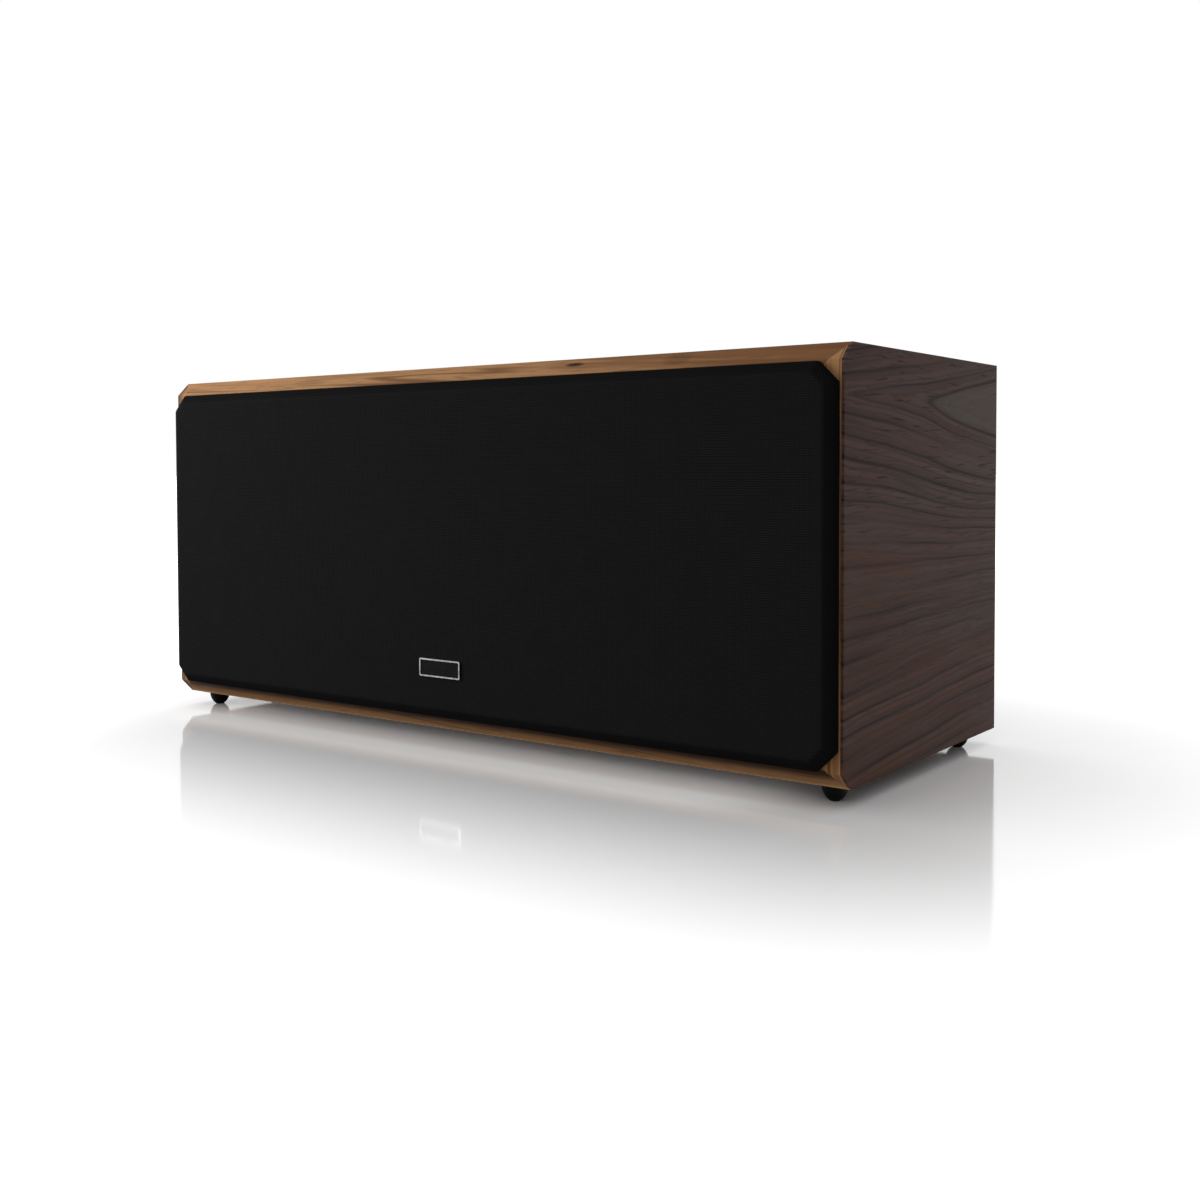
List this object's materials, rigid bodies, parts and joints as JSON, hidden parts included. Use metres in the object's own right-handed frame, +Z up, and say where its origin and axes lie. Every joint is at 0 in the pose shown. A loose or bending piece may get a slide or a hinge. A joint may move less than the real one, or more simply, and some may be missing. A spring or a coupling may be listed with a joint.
{
  "type": "center channel speaker",
  "caption": "Wide low loudspeaker in a walnut-veneered cabinet with bevelled front edges, a black cloth grille and round feet.",
  "frame": {"origin": "on the floor plane, under the middle of the whole object's box", "axes": "+Z up, +X along the cabinet's width to the viewer's right, the grille faces -Y"},
  "size_m": [0.47, 0.1986, 0.2088],
  "materials": {
    "walnut_veneer": "satin walnut veneer on board",
    "painted_board": "black painted board",
    "raw_board": "bare board",
    "foot_rubber": "smooth",
    "grille_board": "black painted thin board",
    "grille_fabric": "black knitted cloth",
    "peg_plastic": "matte",
    "socket_rubber": "matte",
    "badge_chrome": "polished",
    "badge_dark": "dark anodised",
    "basket_steel": "black powder coat",
    "plate_steel": "zinc plated",
    "ferrite": "dark sintered ferrite",
    "coil_metal": "coil wire on a thin former",
    "cone_weave": "coated woven cone",
    "cap_weave": "coated woven cap",
    "surround_rubber": "soft",
    "spider_cloth": "impregnated cloth",
    "faceplate_plastic": "fine texture",
    "dome_metal": "anodised",
    "dome_roll": "soft",
    "screw_steel": "black",
    "port_plastic": "matte",
    "cup_plastic": "fine texture",
    "post_brass": "plated",
    "red_plastic": "clear red",
    "black_plastic": "gloss",
    "board_laminate": "circuit board",
    "copper_wire": "enamelled copper windings",
    "capacitor_film": "wrapped film",
    "cement": "matte"
  },
  "bodies": {
    "cabinet": {"black_post": "post_brass", "board_standoffs": "peg_plastic", "bottom_panel": "walnut_veneer", "crossover_board": "board_laminate", "crossover_capacitors": "capacitor_film", "crossover_inductors": "copper_wire", "crossover_resistors": "cement", "front_baffle": "painted_board", "front_left_foot": "foot_rubber", "front_right_foot": "foot_rubber", "grille_sockets": "socket_rubber", "left_brace": "raw_board", "left_port_tube": "port_plastic", "left_side_panel": "walnut_veneer", "left_woofer_basket": "basket_steel", "left_woofer_magnet": "ferrite", "left_woofer_spider": "spider_cloth", "left_woofer_surround": "surround_rubber", "left_woofer_top_plate": "plate_steel", "left_woofer_yoke": "plate_steel", "mounting_screws": "screw_steel", "post_nuts": "post_brass", "rear_left_foot": "foot_rubber", "rear_panel": "painted_board", "rear_right_foot": "foot_rubber", "red_post": "post_brass", "right_brace": "raw_board", "right_port_tube": "port_plastic", "right_side_panel": "walnut_veneer", "right_woofer_basket": "basket_steel", "right_woofer_magnet": "ferrite", "right_woofer_spider": "spider_cloth", "right_woofer_surround": "surround_rubber", "right_woofer_top_plate": "plate_steel", "right_woofer_yoke": "plate_steel", "terminal_cup": "cup_plastic", "top_panel": "walnut_veneer", "tweeter_faceplate": "faceplate_plastic", "tweeter_magnet": "ferrite", "tweeter_surround": "dome_roll", "tweeter_top_plate": "plate_steel", "tweeter_yoke": "plate_steel"},
    "grille": {"grille_frame": "grille_board", "grille_cloth": "grille_fabric", "grille_pegs": "peg_plastic", "badge_frame": "badge_chrome", "badge_plate": "badge_dark"},
    "left_cone": {"left_woofer_cone": "cone_weave", "left_woofer_dust_cap": "cap_weave", "left_woofer_voice_coil": "coil_metal"},
    "right_cone": {"right_woofer_cone": "cone_weave", "right_woofer_dust_cap": "cap_weave", "right_woofer_voice_coil": "coil_metal"},
    "dome": {"tweeter_dome": "dome_metal", "tweeter_voice_coil": "coil_metal"},
    "red_washer": {"red_post_washer": "post_brass"},
    "red_cap": {"red_post_cap": "red_plastic"},
    "black_washer": {"black_post_washer": "post_brass"},
    "black_cap": {"black_post_cap": "black_plastic"}
  },
  "joints": [
    {"name": "grille_pull", "type": "slide", "parent": "cabinet", "child": "grille", "axis": [0, -1, 0], "range_m": [0, 0.05]},
    {"name": "left_cone_travel", "type": "slide", "parent": "cabinet", "child": "left_cone", "axis": [0, -1, 0], "range_m": [-0.003, 0.003], "stiffness_N_per_m": 1000, "deforming": ["left_woofer_surround", "left_woofer_spider"]},
    {"name": "right_cone_travel", "type": "slide", "parent": "cabinet", "child": "right_cone", "axis": [0, -1, 0], "range_m": [-0.003, 0.003], "stiffness_N_per_m": 1000, "deforming": ["right_woofer_surround", "right_woofer_spider"]},
    {"name": "dome_travel", "type": "slide", "parent": "cabinet", "child": "dome", "axis": [0, -1, 0], "range_m": [-0.0003, 0.0003], "stiffness_N_per_m": 800, "deforming": ["tweeter_surround"]},
    {"name": "red_cap_lift", "type": "slide", "parent": "cabinet", "child": "red_washer", "axis": [0, 1, 0], "range_m": [0, 0.003]},
    {"name": "red_cap_turn", "type": "hinge", "parent": "red_washer", "child": "red_cap", "pos_m": [0.00953, 0.0888, 0.1088], "axis": [0, 1, 0], "range_deg": [0, 1080]},
    {"name": "black_cap_lift", "type": "slide", "parent": "cabinet", "child": "black_washer", "axis": [0, 1, 0], "range_m": [0, 0.003]},
    {"name": "black_cap_turn", "type": "hinge", "parent": "black_washer", "child": "black_cap", "pos_m": [-0.00953, 0.0888, 0.1088], "axis": [0, 1, 0], "range_deg": [0, 1080]}
  ],
  "couplings": [
    {"joint": "red_cap_turn", "follows": "red_cap_lift", "rad_per_m": 6283.2},
    {"joint": "black_cap_turn", "follows": "black_cap_lift", "rad_per_m": 6283.2}
  ]
}
